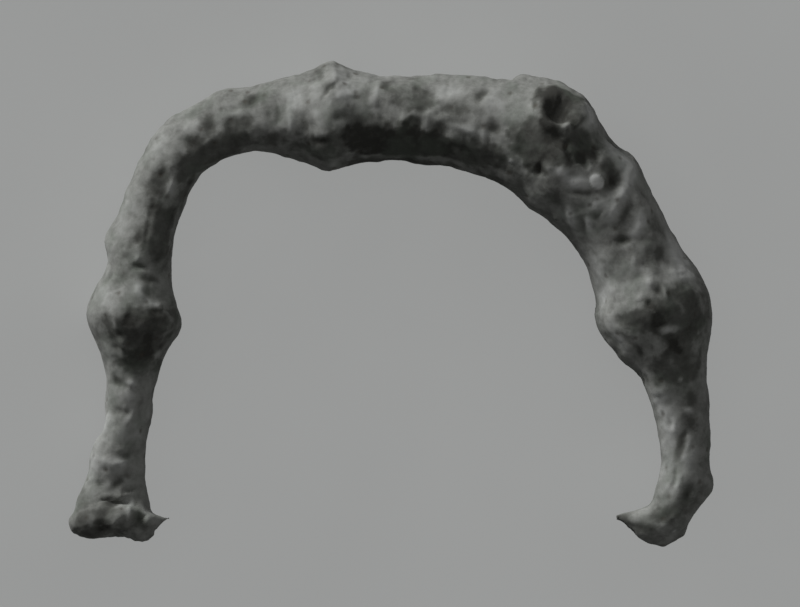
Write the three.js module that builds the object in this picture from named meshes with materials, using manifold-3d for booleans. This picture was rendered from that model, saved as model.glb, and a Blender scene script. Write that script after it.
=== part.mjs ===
// A cast-bronze bow fibula, corroded, with its pin and spring lost.
//
// The arched bow carries four swellings. Its left leg is hammered out into a catch-plate whose
// lower edge is rolled to the front, and its right leg ends in the broken start of the spring
// coil. The brooch is one solid. It lies on its side: X runs along its span, Y from its feet to
// its crown, and Z up from the table that it rests on.

import * as THREE from 'three';
import { LoftGeometry } from 'three/addons/geometries/LoftGeometry.js';
import { ImprovedNoise } from 'three/addons/math/ImprovedNoise.js';
import { mergeVertices } from 'three/addons/utils/BufferGeometryUtils.js';
import Module from 'manifold-3d';

// ---- driving dimensions, in millimetres ----

const AXIS_UP = 5.6; // height of the bow's axis over the table at its thickest swelling
const REST_CUT = 0.25; // worn off the undersides that touch the table

// the bow's axis: across, towards the crown, and how far it drops below AXIS_UP
const BOW_AXIS = [
	[ - 25.6, - 21.3, 1.6 ], // lower edge of the catch-plate
	[ - 25.25, - 17.3, 1.7 ],
	[ - 24.35, - 11.4, 1.6 ], // waist of the left leg
	[ - 23.65, - 4.6, 1.2 ],
	[ - 23.15, 3.2, 1.2 ],
	[ - 21.7, 9.8, 1.0 ],
	[ - 18.5, 14.95, 0.8 ], // left turn
	[ - 12.6, 17.25, 0.6 ],
	[ - 4.4, 17.5, 0.5 ], // crown
	[ 3.7, 17.2, 0.4 ],
	[ 9.8, 16.25, 0.2 ],
	[ 15.65, 13.75, 0 ], // shoulder
	[ 19.85, 9.35, 0 ],
	[ 22.8, 3.9, 0.1 ],
	[ 25.0, - 1.8, 0.1 ],
	[ 27.0, - 8.5, 0.3 ],
	[ 27.4, - 14.2, 0.5 ], // right leg
	[ 27.0, - 17.3, 0.6 ],
	[ 25.4, - 19.95, 0.6 ], // first bend of the spring
	[ 22.9, - 19.75, 0.3 ],
	[ 20.7, - 19.4, 0 ], // broken end
];

// half-thickness of the bow without its swellings, at distances along the axis
const SHANK = [
	[ 0, 3.7 ],
	[ 3, 3.7 ],
	[ 5.5, 2.9 ],
	[ 9, 2.4 ],
	[ 12, 2.25 ],
	[ 17, 2.35 ],
	[ 27, 3.05 ],
	[ 33, 2.85 ],
	[ 41, 3.05 ],
	[ 47, 3.5 ],
	[ 55, 4.1 ],
	[ 62, 4.25 ],
	[ 69, 4.6 ],
	[ 78, 4.6 ],
	[ 84, 4.25 ],
	[ 92, 3.8 ],
	[ 97, 2.9 ],
	[ 104, 2.35 ],
	[ 107, 2.5 ],
	[ 110, 2.0 ],
	[ 112, 1.6 ],
	[ 114.5, 0.6 ],
];

// how deep the section is for its width: the catch-plate is hammered flat
const DEPTH_RATIO = [
	[ 0, 0.4 ],
	[ 4, 0.55 ],
	[ 10, 0.95 ],
	[ 13, 1 ],
	[ 20, 1 ],
	[ 100, 1 ],
	[ 108, 1 ],
	[ 114.5, 1.2 ],
];

// biconical swellings: place along the axis, rise over the shank, reach to either side, and how
// far the ridge leans along the bow towards its outer edge
const SWELLINGS = [
	{ at: 20.4, rise: 2.1, reach: 3.5, lean: 0.3 }, // left leg
	{ at: 51.1, rise: 1.4, reach: 2.4, lean: 0.1 }, // crown
	{ at: 73.2, rise: 0.9, reach: 3.7, lean: - 0.9 }, // shoulder
	{ at: 89.8, rise: 1.55, reach: 3.4, lean: 0.3 }, // right leg
];

// single lumps and hollows of the corroded surface: place along the axis, direction around it in
// degrees (0 outer edge, 90 front, 180 inner edge, 270 underside), rise and spread
const LUMPS = [
	{ at: 10.4, around: 0, rise: - 0.55, spread: 1.0 }, // nick over the catch-plate
	{ at: 12, around: 180, rise: 0.25, spread: 1.5 },
	{ at: 14.6, around: 0, rise: - 0.3, spread: 1.5 },
	{ at: 24.6, around: 180, rise: 0.3, spread: 1.5 },
	{ at: 24.8, around: 0, rise: - 0.6, spread: 1.5 },
	{ at: 27.3, around: 0, rise: 0.6, spread: 1.2 },
	{ at: 29.9, around: 0, rise: - 0.25, spread: 1.1 },
	{ at: 42, around: 0, rise: 0.3, spread: 1.6 },
	{ at: 42.5, around: 180, rise: - 0.2, spread: 2.0 },
	{ at: 47.6, around: 180, rise: 0.25, spread: 2.2 },
	{ at: 51.6, around: 0, rise: 0.2, spread: 1.3 }, // peak of the crown
	{ at: 54.8, around: 0, rise: - 0.35, spread: 1.8 },
	{ at: 64.8, around: 0, rise: 0.3, spread: 0.9 },
	{ at: 66.3, around: 0, rise: - 0.35, spread: 0.8 },
	{ at: 67.5, around: 0, rise: 0.4, spread: 0.9 },
	{ at: 69.9, around: 10, rise: 1.4, spread: 3.0 }, // outer bulge of the shoulder
	{ at: 74.7, around: 0, rise: - 1.1, spread: 1.2 }, // notch behind the shoulder
	{ at: 77.4, around: 0, rise: 0.5, spread: 1.5 },
	{ at: 86.8, around: 0, rise: 0.35, spread: 2.0 },
	{ at: 92.9, around: 0, rise: 0.45, spread: 1.4 },
	{ at: 106.1, around: 0, rise: 0.5, spread: 1.1 }, // outside of the spring's first bend
	{ at: 108.4, around: 0, rise: - 0.75, spread: 1.1 },
	{ at: 110.8, around: 180, rise: 0.5, spread: 1.1 },
	{ at: 110.3, around: 350, rise: 0.7, spread: 1.0 }, // lowest corner of the broken spring
];

const ROUGHNESS = [
	{ height: 0.26, scale: 3.1 },
	{ height: 0.13, scale: 1.7 },
];

const SIDES = 28;
const STATION_STEP = 0.9;

// ---- the bow ----

const axis = new THREE.CatmullRomCurve3(
	BOW_AXIS.map( ( [ across, up, drop ] ) => new THREE.Vector3( across, up, AXIS_UP - drop ) )
);
axis.arcLengthDivisions = 800;
const axisLength = axis.getLength();
const perlin = new ImprovedNoise();

// reads a value that runs smoothly through [ distance, value ] stations
function along( stations ) {

	const places = stations.map( ( [ place ] ) => place );
	const values = stations.map( ( [ , value ] ) => value );
	const curve = new THREE.CubicInterpolant( places, values, 1 );
	return ( s ) => curve.evaluate( s )[ 0 ];

}

const shankAt = along( SHANK );
const depthRatioAt = along( DEPTH_RATIO );

// the direction in the plane of the bow that points away from its inside
function outwardAt( s ) {

	const tangent = axis.getTangentAt( s / axisLength );
	return new THREE.Vector3( - tangent.y, tangent.x, 0 ).normalize();

}

function swellingAt( s, across ) {

	let rise = 0;
	for ( const { at, rise: top, reach, lean } of SWELLINGS ) {

		const away = Math.abs( s - at - lean * across ) / reach;
		rise += top * Math.exp( - Math.pow( away, 1.5 ) );

	}

	return rise;

}

function lumpsAt( s, angle, half ) {

	let rise = 0;
	for ( const { at, around, rise: top, spread } of LUMPS ) {

		const turn = angle - THREE.MathUtils.degToRad( around );
		const round = 2 * half * Math.sin( turn / 2 );
		const away = Math.hypot( s - at, round ) / spread;
		rise += top * Math.exp( - away * away );

	}

	return rise;

}

function roughnessAt( { x, y, z } ) {

	let rise = 0;
	for ( const { height, scale } of ROUGHNESS ) {

		rise += height * perlin.noise( x / scale, y / scale, z / scale );

	}

	return rise;

}

function bowSection( s ) {

	const centre = axis.getPointAt( s / axisLength );
	const outward = outwardAt( s );
	const ring = [];
	for ( let i = 0; i < SIDES; i ++ ) {

		const angle = i / SIDES * Math.PI * 2;
		const across = Math.cos( angle );
		const up = Math.sin( angle );
		let half = shankAt( s ) + swellingAt( s, across );
		half += lumpsAt( s, angle, half );
		const skin = centre.clone().addScaledVector( outward, half * across );
		skin.z += half * depthRatioAt( s ) * up;
		const worn = THREE.MathUtils.smoothstep( up, - 1, - 0.6 );
		const direction = outward.clone().multiplyScalar( across );
		direction.z = up;
		ring.push( skin.addScaledVector( direction, roughnessAt( skin ) * worn ) );

	}

	return ring;

}

function bowGeometry() {

	const count = Math.round( axisLength / STATION_STEP );
	const sections = [];
	for ( let i = 0; i <= count; i ++ ) {

		sections.push( bowSection( i / count * axisLength ) );

	}

	return new LoftGeometry( sections, { capStart: true, capEnd: true } );

}

// ---- the catch: the lower edge of the plate, rolled to the front, with a broken spur ----

const CATCH = {
	path: [
		[ - 29.65, - 20.2, 3.9 ],
		[ - 28.2, - 19.9, 4.3 ],
		[ - 25.4, - 19.55, 4.5 ],
		[ - 22.7, - 19.9, 4.5 ],
		[ - 21.2, - 19.75, 4.7 ],
		[ - 20.0, - 19.4, 4.9 ],
	],
	radii: [
		[ 0, 0.8 ],
		[ 0.12, 1.5 ],
		[ 0.3, 2.1 ],
		[ 0.5, 2.3 ],
		[ 0.75, 1.8 ],
		[ 0.88, 0.85 ],
		[ 1, 0.3 ],
	],
	sides: 14,
	stations: 18,
	slot: { centre: [ - 25.4, - 17.9, 6.1 ], half: [ 3.0, 0.4, 1.0 ] }, // mouth of the roll
};

function catchGeometry() {

	const path = new THREE.CatmullRomCurve3( CATCH.path.map( ( p ) => new THREE.Vector3( ...p ) ) );
	const radiusAt = along( CATCH.radii );
	const up = new THREE.Vector3( 0, 0, 1 );
	const sections = [];
	for ( let i = 0; i <= CATCH.stations; i ++ ) {

		const u = i / CATCH.stations;
		const centre = path.getPointAt( u );
		const side = new THREE.Vector3().crossVectors( up, path.getTangentAt( u ) ).normalize();
		const ring = [];
		for ( let k = 0; k < CATCH.sides; k ++ ) {

			const angle = k / CATCH.sides * Math.PI * 2;
			const direction = side.clone().multiplyScalar( Math.cos( angle ) );
			direction.addScaledVector( up, Math.sin( angle ) );
			const skin = centre.clone().addScaledVector( direction, radiusAt( u ) );
			ring.push( skin.addScaledVector( direction, roughnessAt( skin ) ) );

		}

		sections.push( ring );

	}

	return new LoftGeometry( sections, { capStart: true, capEnd: true } );

}

function slotGeometry() {

	const { centre, half } = CATCH.slot;
	return new THREE.SphereGeometry( 1, 14, 8 ).scale( ...half ).translate( ...centre );

}

// ---- the crater in the shoulder: a raised rim round an empty socket ----

const CRATER = {
	at: 71,
	around: 47, // degrees from the outer edge towards the front
	sunk: 0.15, // how far the rim's top lies under the bulge that carries it
	rim: [ [ 0, - 2 ], [ 2.7, - 2 ], [ 2.5, - 0.3 ], [ 2.1, 0.3 ], [ 1.8, 0.3 ], [ 0, 0 ] ],
	bowl: [ [ 0, - 0.8 ], [ 0.9, - 0.65 ], [ 1.45, - 0.2 ], [ 1.75, 0.5 ], [ 1.9, 1.5 ], [ 0, 1.5 ] ],
	sides: 18,
};

function craterGeometry( profile ) {

	const outward = outwardAt( CRATER.at );
	const turn = THREE.MathUtils.degToRad( CRATER.around );
	const direction = outward.multiplyScalar( Math.cos( turn ) );
	direction.z = Math.sin( turn );
	const half = shankAt( CRATER.at ) + swellingAt( CRATER.at, Math.cos( turn ) );
	const reach = half + lumpsAt( CRATER.at, turn, half ) - CRATER.sunk;
	const seat = axis.getPointAt( CRATER.at / axisLength ).addScaledVector( direction, reach );
	const upright = new THREE.Quaternion().setFromUnitVectors( new THREE.Vector3( 0, 1, 0 ), direction );
	const points = profile.map( ( [ radius, height ] ) => new THREE.Vector2( radius, height ) );
	const lathe = new THREE.LatheGeometry( points, CRATER.sides );
	return lathe.applyQuaternion( upright ).translate( seat.x, seat.y, seat.z );

}

// ---- solids ----

const wasm = await Module();
wasm.setup();

function toSolid( geometry ) {

	const bare = new THREE.BufferGeometry().copy( geometry );
	bare.deleteAttribute( 'normal' );
	bare.deleteAttribute( 'uv' );
	const merged = mergeVertices( bare, 1e-4 );
	return new wasm.Manifold( new wasm.Mesh( {
		numProp: 3,
		vertProperties: merged.attributes.position.array,
		triVerts: Uint32Array.from( merged.index.array ),
	} ) );

}

function toGeometry( solid ) {

	const { vertProperties, triVerts } = solid.getMesh();
	const geometry = new THREE.BufferGeometry();
	geometry.setAttribute( 'position', new THREE.BufferAttribute( vertProperties, 3 ) );
	geometry.setIndex( new THREE.BufferAttribute( triVerts, 1 ) );
	return geometry;

}

// what is above the table
function aboveTable() {

	const size = 100;
	const block = new THREE.BoxGeometry( size, size, size ).translate( 0, 0, size / 2 + REST_CUT );
	return toSolid( block );

}

const fibulaSolid = toSolid( bowGeometry() )
	.add( toSolid( catchGeometry() ) )
	.subtract( toSolid( slotGeometry() ) )
	.add( toSolid( craterGeometry( CRATER.rim ) ) )
	.subtract( toSolid( craterGeometry( CRATER.bowl ) ) )
	.intersect( aboveTable() );

const bronze = new THREE.MeshStandardMaterial( { color: 0x6b6a61, roughness: 0.9, metalness: 0.1 } );
const geometry = toGeometry( fibulaSolid );
geometry.computeBoundingBox();
const { min, max } = geometry.boundingBox;
geometry.translate( - ( min.x + max.x ) / 2, - ( min.y + max.y ) / 2, - min.z );

const fibula = new THREE.Mesh( geometry, bronze );
fibula.name = 'fibula_bow';

const group = new THREE.Group();
group.add( fibula );

export default group;
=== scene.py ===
"""Looks of a corroded bronze fibula bow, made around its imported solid.

One cast piece lies on its side on a pale table: the left foot with its catch, two long
knobs, a crown, a hollowed shoulder and a broken spring stump. Sizes are given in modules: one
module is a sixtieth of the brooch's span in the frame, close to a millimetre. A place on the
bow is given as the distance along its line from the left foot, and the angle around it:
0 faces away from the arch, 90 faces up from the table and 180 faces into the arch.
"""

import logging
import math
from dataclasses import dataclass, field
from enum import Enum

import bmesh
import bpy
import numpy as np
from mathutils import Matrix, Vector, noise


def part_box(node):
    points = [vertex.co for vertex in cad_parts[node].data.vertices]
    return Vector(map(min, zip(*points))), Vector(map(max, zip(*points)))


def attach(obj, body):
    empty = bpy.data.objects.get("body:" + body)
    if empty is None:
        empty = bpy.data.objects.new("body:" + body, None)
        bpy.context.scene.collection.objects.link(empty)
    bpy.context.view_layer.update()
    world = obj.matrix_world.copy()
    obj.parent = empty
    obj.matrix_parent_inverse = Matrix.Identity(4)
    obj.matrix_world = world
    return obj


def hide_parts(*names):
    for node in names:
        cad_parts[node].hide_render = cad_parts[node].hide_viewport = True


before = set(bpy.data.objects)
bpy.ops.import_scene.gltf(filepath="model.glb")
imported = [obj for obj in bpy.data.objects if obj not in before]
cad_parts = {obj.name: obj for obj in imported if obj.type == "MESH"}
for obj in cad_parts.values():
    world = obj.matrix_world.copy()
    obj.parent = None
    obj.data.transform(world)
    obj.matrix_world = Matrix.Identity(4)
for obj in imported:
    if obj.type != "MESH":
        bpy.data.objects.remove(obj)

NODE = "fibula_bow"
SPAN = 60.0
MODULE = (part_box(NODE)[1].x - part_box(NODE)[0].x) / SPAN
LOG = logging.getLogger("fibula")

Colour = tuple[float, float, float]
Filling = bpy.types.NodeSocket | float | Colour

logging.basicConfig(level=logging.INFO, format="%(name)s: %(message)s")


class Shape(Enum):
    """How the height of a mark falls away from its middle."""

    BELL = "bell"
    PLATE = "plate"
    FURROW = "furrow"


class Speckle(Enum):
    """The kinds of uneven surface that the corrosion has."""

    CLOUD = "cloud"
    NODULES = "nodules"


def smooth_step(low: float, high: float, value: np.ndarray) -> np.ndarray:
    """Ease values from 0 at the low end to 1 at the high end."""
    share = np.clip((value - low) / (high - low), 0.0, 1.0)
    return share * share * (3.0 - 2.0 * share)


@dataclass(frozen=True)
class Solid:
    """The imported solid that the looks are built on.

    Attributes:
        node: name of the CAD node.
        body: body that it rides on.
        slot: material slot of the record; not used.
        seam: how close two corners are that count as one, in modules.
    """

    node: str = NODE
    body: str = "root"
    slot: str = "corroded_bronze"
    seam: float = 0.002

    def corners(self) -> tuple[np.ndarray, np.ndarray]:
        """Give the lowest and highest corners of the node, in modules."""
        low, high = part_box(self.node)
        return np.array(low) / MODULE, np.array(high) / MODULE

    def length(self) -> float:
        """Give the length of the node from side to side, in modules."""
        low, high = self.corners()
        return high[0] - low[0]

    def centre(self) -> np.ndarray:
        """Give the middle of the node's box, in modules."""
        low, high = self.corners()
        return (low + high) / 2.0

    def copy_mesh(self, name: str) -> bpy.types.Object:
        """Copy the node's mesh into a new object, with its doubles merged.

        Args:
            name: name of the new object.

        Returns:
            The new object, at the origin and linked to the scene.
        """
        source = bpy.data.objects[self.node].data
        shell = bmesh.new()
        shell.from_mesh(source)
        bmesh.ops.remove_doubles(shell, verts=shell.verts, dist=self.seam * MODULE)
        bmesh.ops.recalc_face_normals(shell, faces=shell.faces)
        mesh = bpy.data.meshes.new(name)
        shell.to_mesh(mesh)
        shell.free()
        piece = bpy.data.objects.new(name, mesh)
        bpy.context.scene.collection.objects.link(piece)
        return piece


@dataclass
class Places:
    """Where points are on the bow.

    Attributes:
        along: distance along the bow's line from the left foot, in modules.
        around: angle around the line, in degrees.
        radius: distance from the line, in modules.
    """

    along: np.ndarray
    around: np.ndarray
    radius: np.ndarray


@dataclass
class BowLine:
    """The line through the middle of the bow, found from the solid's own surface.

    Attributes:
        stations: how many slices the bow is cut into around the arch.
        passes: how often the line is smoothed.
        batch: how many points are located at a time, to save memory.
        points: the line's points, in modules.
        lengths: how far along the line each point is, in modules.
    """

    stations: int = 96
    passes: int = 6
    batch: int = 8192
    points: np.ndarray = field(init=False, repr=False)
    lengths: np.ndarray = field(init=False, repr=False)

    def fit(self, surface: np.ndarray, hub: np.ndarray) -> None:
        """Lay the line through the middle of each slice of the surface.

        Args:
            surface: even points of the surface, in modules.
            hub: the point inside the arch that the slices turn about.
        """
        away = surface - hub
        turn = np.degrees(np.arctan2(-away[:, 0], -away[:, 1])) % 360.0
        edges = np.linspace(turn.min(), turn.max() + 1e-6, self.stations + 1)
        slice_of = np.digitize(turn, edges) - 1
        middles = [surface[slice_of == i].mean(axis=0) for i in range(self.stations)
                   if np.any(slice_of == i)]
        line = np.array(middles)
        for _ in range(self.passes):
            line[1:-1] = (line[:-2] + 2.0 * line[1:-1] + line[2:]) / 4.0
        steps = np.linalg.norm(np.diff(line[:, :2], axis=0), axis=1)
        self.points = line
        self.lengths = np.concatenate([[0.0], np.cumsum(steps)])

    def locate(self, points: np.ndarray) -> Places:
        """Find where points are along and around the bow.

        Args:
            points: points in modules.

        Returns:
            Their places on the bow.
        """
        start = self.points[:-1, :2]
        step = np.diff(self.points[:, :2], axis=0)
        square = (step ** 2).sum(axis=1)
        along = np.empty(len(points))
        side = np.empty(len(points))
        up = np.empty(len(points))
        for first in range(0, len(points), self.batch):
            some = points[first:first + self.batch]
            share = ((some[:, None, :2] - start) * step).sum(axis=2) / square
            share[:, 1:-1] = np.clip(share[:, 1:-1], 0.0, 1.0)
            share[:, 0] = np.minimum(share[:, 0], 1.0)
            share[:, -1] = np.maximum(share[:, -1], 0.0)
            foot = start + share[..., None] * step
            near = ((some[:, None, :2] - foot) ** 2).sum(axis=2).argmin(axis=1)
            row = np.arange(len(some))
            part = share[row, near]
            length = np.sqrt(square[near])
            across = np.stack([-step[near, 1], step[near, 0]], axis=1) / length[:, None]
            rise = self.points[near + 1, 2] - self.points[near, 2]
            level = self.points[near, 2] + np.clip(part, 0.0, 1.0) * rise
            end = first + len(some)
            along[first:end] = self.lengths[near] + part * length
            side[first:end] = ((some[:, :2] - foot[row, near]) * across).sum(axis=1)
            up[first:end] = some[:, 2] - level
        return Places(along, np.degrees(np.arctan2(up, side)), np.hypot(side, up))


@dataclass(frozen=True)
class Roughening:
    """An uneven field that covers the whole bow.

    Attributes:
        kind: what the field looks like.
        size: width of one lump in modules.
        octaves: how many finer layers a cloud has.
        seed: which piece of the pattern is used.
        apart: how far apart the pieces of the pattern are.
        fade: how quickly the finer layers fade.
        finer: how much finer each layer is than the one before.
        reach: how far a nodule reaches, as a share of its width.
    """

    kind: Speckle
    size: float
    octaves: int
    seed: int
    apart: tuple[float, float, float] = (31.7, -12.9, 53.3)
    fade: float = 1.0
    finer: float = 2.0
    reach: float = 0.8

    def values(self, points: np.ndarray) -> np.ndarray:
        """Work the field out at each point.

        Args:
            points: points in modules.

        Returns:
            One value for each point, roughly from -1 to 1.
        """
        rows = (points / self.size + np.array(self.apart) * (self.seed + 1)).tolist()
        if self.kind is Speckle.NODULES:
            far = np.array([noise.voronoi(row)[0][0] for row in rows])
            return 1.0 - 2.0 * np.clip(far / self.reach, 0.0, 1.0)
        return np.array([noise.fractal(row, self.fade, self.finer, self.octaves) for row in rows])

    def across(self, places: Places, stretch: float) -> np.ndarray:
        """Work the field out as streaks that run around the bow.

        Args:
            places: places on the bow.
            stretch: how much longer a streak is than it is wide.

        Returns:
            One value for each place, roughly from -1 to 1.
        """
        reach = places.radius / stretch
        angle = np.radians(places.around)
        streak = np.stack([places.along, reach * np.cos(angle), reach * np.sin(angle)], axis=1)
        return self.values(streak)


@dataclass(frozen=True)
class Mark:
    """One lump, hollow, plate of crust or furrow on the bow.

    Attributes:
        name: what it is.
        along: distance from the middle of its stretch, in modules.
        around: angle around the bow, in degrees.
        length: its half length along the bow, in modules.
        width: its half width around the bow, in modules.
        turn: how far its length is turned from the bow's line, in degrees.
        height: how far it stands up, or below zero sinks, in modules.
        tone: how much paler, or below zero darker, it is; on some marks this is painted light or
            painted shade.
        shape: how it falls away from its middle.
        ragged: how far its edge wanders, as a share of its size.
        bell: how quickly a bell falls away.
        brim: where the edge of a plate begins and ends, as shares of its size.
        flank: how hollow the flanks of a furrow are.
    """

    name: str
    along: float
    around: float
    length: float
    width: float
    turn: float = 0.0
    height: float = 0.0
    tone: float = 0.0
    shape: Shape = Shape.BELL
    ragged: float = 0.3
    bell: float = 1.6
    brim: tuple[float, float] = (0.75, 1.2)
    flank: float = 0.8

    def weight(self, places: Places, middle: float, wander: np.ndarray) -> np.ndarray:
        """Work out how strongly the mark is felt at each place.

        Args:
            places: places on the bow.
            middle: where the middle of its stretch is along the bow.
            wander: an uneven field that makes the edge ragged.

        Returns:
            One value for each place, from 0 to 1.
        """
        ahead = places.along - middle - self.along
        angle = (places.around - self.around + 180.0) % 360.0 - 180.0
        beside = np.radians(angle) * places.radius
        cosine = math.cos(math.radians(self.turn))
        sine = math.sin(math.radians(self.turn))
        first = (ahead * cosine + beside * sine) / self.length
        second = (beside * cosine - ahead * sine) / self.width
        reach = np.maximum(np.hypot(first, second) + self.ragged * wander, 0.0)
        if self.shape is Shape.PLATE:
            return 1.0 - smooth_step(*self.brim, reach)
        if self.shape is Shape.FURROW:
            return np.clip(1.0 - reach, 0.0, 1.0) ** self.flank
        return np.exp(-self.bell * reach ** 2)


@dataclass(frozen=True)
class Stretch:
    """A stretch of the bow with the marks that can be told apart on it.

    Attributes:
        middle: where its middle is along the bow, in modules.
        marks: its marks.
    """

    middle: float
    marks: tuple[Mark, ...]

    def apply(self, places: Places, wander: np.ndarray,
              height: np.ndarray, tone: np.ndarray) -> None:
        """Add the stretch's marks to the relief and the tone.

        Args:
            places: places on the bow.
            wander: an uneven field that makes the edges ragged.
            height: relief so far, which is changed.
            tone: tone so far, which is changed.
        """
        for mark in self.marks:
            weight = mark.weight(places, self.middle, wander)
            height += mark.height * weight
            tone += mark.tone * weight


def left_foot() -> Stretch:
    """Give the flared left foot, with its catch and spur.

    Returns:
        The stretch with its marks.
    """
    return Stretch(middle=3.0, marks=(
        Mark("dark spot inside", 3.5, 120, 1.0, 0.5, turn=50, height=-0.2, tone=-0.5),
        Mark("middle dark spot", 2.7, 98, 0.5, 0.6, height=-0.15, tone=-0.5),
        Mark("outer dark spot", 2.8, 42, 0.5, 0.5, height=-0.2, tone=-0.55),
        Mark("faint outer spot", 2.9, 22, 0.3, 0.5, height=-0.1, tone=-0.25),
        Mark("dark corner", 1.8, 135, 0.6, 0.8, height=-0.15, tone=-0.3),
        Mark("pale lip", 1.9, 75, 0.25, 1.6, tone=0.1),
        Mark("soil in the slot", 1.3, 72, 0.5, 1.8, height=0.35, tone=0.1, ragged=0.1),
        Mark("pale plate below the slot", 0.8, 88, 0.5, 1.0, height=0.1, tone=0.3),
        Mark("pale streak", -0.2, 104, 1.2, 0.4, turn=45, height=0.15, tone=0.7),
        Mark("dark streak", 0.4, 48, 1.6, 0.7, turn=45, height=-0.2, tone=-0.7),
        Mark("grey toe", 0.9, 18, 1.8, 1.6, tone=-0.7),
        Mark("dark middle of the edge", -1.2, 60, 0.8, 1.5, height=-0.1, tone=-0.4),
        Mark("slot by the spur", -1.4, 115, 1.0, 0.4, turn=45, height=-0.15, tone=-0.5),
        Mark("dark hollow", -2.4, 108, 1.2, 1.0, height=-0.2, tone=-0.7),
        Mark("pale root of the spur", -2.2, 136, 0.9, 0.6, turn=45, height=0.1, tone=0.5),
        Mark("worn end", -1.8, 20, 1.6, 4.0, height=-0.75),
        # painted light: the outer side, which faces the key lamp, is made paler
        Mark("pale outer side", 3.2, 20, 2.6, 1.3, tone=0.4),
    ))


def left_leg() -> Stretch:
    """Give the slim left leg with its worn rings.

    Returns:
        The stretch with its marks.
    """
    return Stretch(middle=12.5, marks=(
        Mark("dark throat", 4.4, 100, 0.8, 2.8, tone=-0.45, shape=Shape.PLATE),
        Mark("grey throat", 3.2, 102, 0.8, 1.3, tone=-0.3),
        Mark("pale outer side", 3.3, 58, 0.8, 0.6, tone=0.35),
        Mark("dark spot of the ring", 2.4, 55, 0.5, 0.8, height=-0.2, tone=-0.55),
        Mark("grey gap", 2.2, 72, 0.4, 0.5, height=-0.1, tone=-0.2),
        Mark("pale knot", 2.6, 88, 0.5, 0.6, height=0.25, tone=0.6),
        Mark("pale ring", 1.4, 78, 0.7, 1.6, height=0.1, tone=0.25),
        Mark("dark ring", -0.2, 75, 0.5, 1.5, height=-0.2, tone=-0.45),
        Mark("end of the dark ring", 0.1, 92, 0.6, 0.5, height=-0.1, tone=-0.3),
        # painted shade: the inner flank, turned away from the key lamp, is made darker
        Mark("dark inner flank", 0.6, 120, 1.6, 0.8, tone=-0.35),
        Mark("pale waist", -1.6, 48, 1.2, 1.3, height=0.08, tone=0.35),
        Mark("grey strip", -2.0, 92, 1.2, 0.5, tone=0.15),
        Mark("grey dip", -3.3, 90, 0.8, 0.7, height=-0.12, tone=-0.3),
        Mark("dark hollow", -3.3, 128, 1.0, 0.9, height=-0.2, tone=-0.5),
        Mark("dark pocket", -4.1, 108, 0.5, 0.8, height=-0.2, tone=-0.5),
        Mark("lowest pale ring", -5.0, 65, 0.6, 1.5, height=0.15, tone=0.35),
        Mark("end of the lowest ring", -4.9, 105, 0.4, 0.9, height=0.1, tone=0.3),
        Mark("full outer side", -4.2, 10, 1.6, 2.2, height=0.35),
        # painted light: the outer edge, which faces the key lamp, is made paler
        Mark("pale outer edge", -1.0, 20, 5.0, 1.3, tone=0.4),
        Mark("light inner flank", -1.2, 128, 6.0, 1.4, tone=0.3),
        Mark("grey middle", -0.5, 96, 5.0, 0.8, tone=0.35),
    ))


def left_knob() -> Stretch:
    """Give the lower left knob.

    Returns:
        The stretch with its marks.
    """
    return Stretch(middle=21.0, marks=(
        Mark("pale top", 2.2, 55, 1.0, 1.8, height=0.05, tone=0.35),
        Mark("pale brow", 1.2, 64, 0.7, 1.2, height=0.1, tone=0.3),
        Mark("pale patch", 3.0, 98, 0.7, 0.6, height=0.12, tone=0.9),
        Mark("pale arc", 2.2, 108, 1.2, 0.5, turn=-60, height=0.1, tone=0.6),
        Mark("pale lump inside", 1.5, 118, 0.5, 0.9, height=0.12, tone=0.8),
        Mark("grey dip", 2.7, 113, 0.4, 0.4, height=-0.1, tone=-0.25),
        Mark("dark belly", -1.0, 106, 2.3, 2.8, tone=-0.7, shape=Shape.PLATE),
        Mark("deep hollow", 0.2, 88, 0.7, 0.9, height=-0.2, tone=-0.4),
        Mark("lower deep hollow", -0.6, 92, 0.8, 0.8, height=-0.15, tone=-0.3),
        Mark("inner deep hollow", -1.8, 109, 1.0, 0.9, height=-0.2, tone=-0.4),
        Mark("dark foot of the knob", -3.5, 95, 0.9, 1.9, tone=-0.45, shape=Shape.PLATE),
        Mark("grey outer cheek", 0.1, 54, 1.0, 1.3, height=-0.05, tone=-0.35),
        Mark("thin pale rib", 0.0, 69, 0.9, 0.3, height=0.1, tone=0.3),
        Mark("dark stroke", -1.3, 70, 0.4, 0.5, height=-0.1, tone=-0.35),
        Mark("dark slanting groove", -2.2, 60, 1.1, 0.5, turn=-10, height=-0.15, tone=-0.4),
        Mark("pale lump", -2.1, 74, 0.8, 0.6, height=0.15, tone=0.4),
        Mark("pale outer rib", -2.6, 43, 1.2, 0.4, turn=-15, height=0.1, tone=0.3),
        Mark("dark outer cheek", -2.2, 20, 0.8, 0.6, tone=-0.25),
        # painted shade: the inner side, turned away from the key lamp, is made darker
        Mark("dark inner side", -0.5, 152, 3.0, 1.4, tone=-0.5),
    ))


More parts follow.
